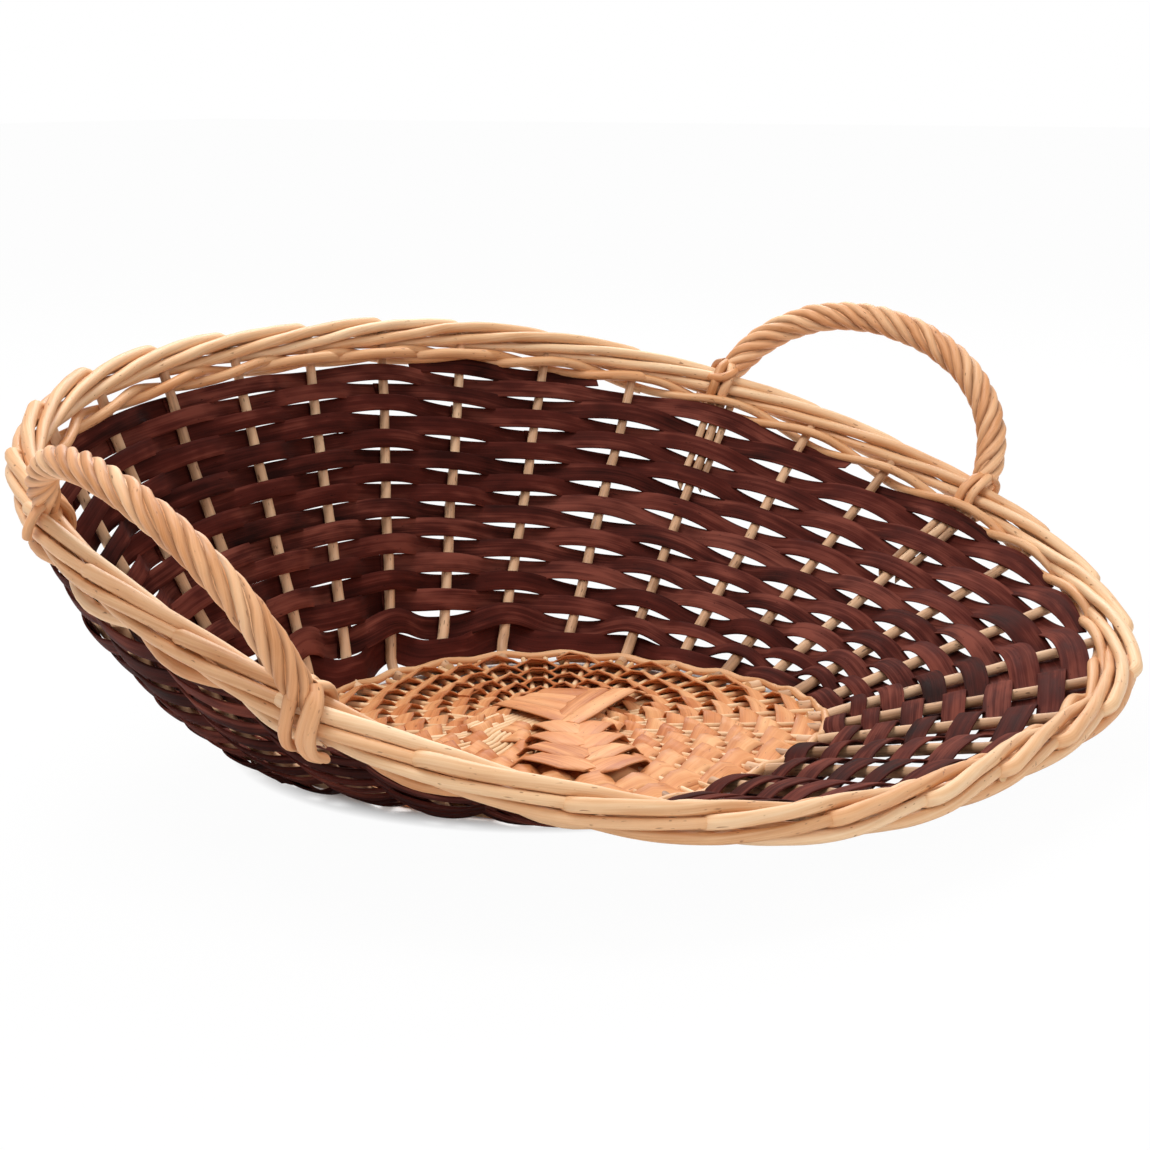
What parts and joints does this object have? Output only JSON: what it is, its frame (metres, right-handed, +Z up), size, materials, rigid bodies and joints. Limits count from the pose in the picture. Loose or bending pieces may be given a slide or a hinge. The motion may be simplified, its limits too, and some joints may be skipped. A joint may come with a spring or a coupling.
{
  "type": "woven wicker basket",
  "caption": "Oval woven display basket with a rim that slopes to the front, dark flat strips over willow stakes, plaited border and a twisted handle at each end.",
  "frame": {"origin": "middle of the base's underside, on the surface that the basket stands on", "axes": "+X towards the low front, +Y towards the left-hand handle, +Z up"},
  "size_m": [0.4133, 0.5621, 0.1698],
  "materials": {
    "dark_strip": "stained willow split, satin",
    "border_rod": "peeled willow, satin",
    "handle_rod": "peeled willow, satin",
    "stake": "peeled willow, dull",
    "base_strip": "peeled willow split, satin",
    "base_stick": "peeled willow, dull"
  },
  "bodies": {
    "root": {"base_sticks_lower": "base_stick", "base_sticks_upper": "base_stick", "base_binding": "base_strip", "base_edge_rod": "border_rod", "base_row_01": "base_strip", "base_row_02": "base_strip", "base_row_03": "base_strip", "base_row_04": "base_strip", "base_row_05": "base_strip", "base_row_06": "base_strip", "base_row_07": "base_strip", "base_row_08": "base_strip", "base_row_09": "base_strip", "stakes_front": "stake", "stakes_left": "stake", "stakes_back": "stake", "stakes_right": "stake", "weave_row_01": "dark_strip", "weave_row_02": "dark_strip", "weave_row_03": "dark_strip", "weave_row_04": "dark_strip", "weave_row_05": "dark_strip", "weave_row_06": "dark_strip", "weave_row_07": "dark_strip", "weave_row_08": "dark_strip", "weave_row_09": "dark_strip", "weave_row_10": "dark_strip", "weave_row_11": "dark_strip", "weave_row_12": "dark_strip", "weave_row_13": "dark_strip", "weave_row_14": "dark_strip", "weave_row_15": "dark_strip", "weave_row_16": "dark_strip", "weave_row_17": "dark_strip", "wale_rod_a": "border_rod", "wale_rod_b": "border_rod", "border_rods_1": "border_rod", "border_rods_2": "border_rod", "border_rods_3": "border_rod", "border_rods_4": "border_rod", "border_rods_5": "border_rod", "left_handle_strand_1": "handle_rod", "left_handle_strand_2": "handle_rod", "left_handle_strand_3": "handle_rod", "left_handle_strand_4": "handle_rod", "right_handle_strand_1": "handle_rod", "right_handle_strand_2": "handle_rod", "right_handle_strand_3": "handle_rod", "right_handle_strand_4": "handle_rod", "left_handle_bands": "handle_rod", "right_handle_bands": "handle_rod", "left_handle_liners": "stake", "right_handle_liners": "stake"}
  },
  "joints": []
}
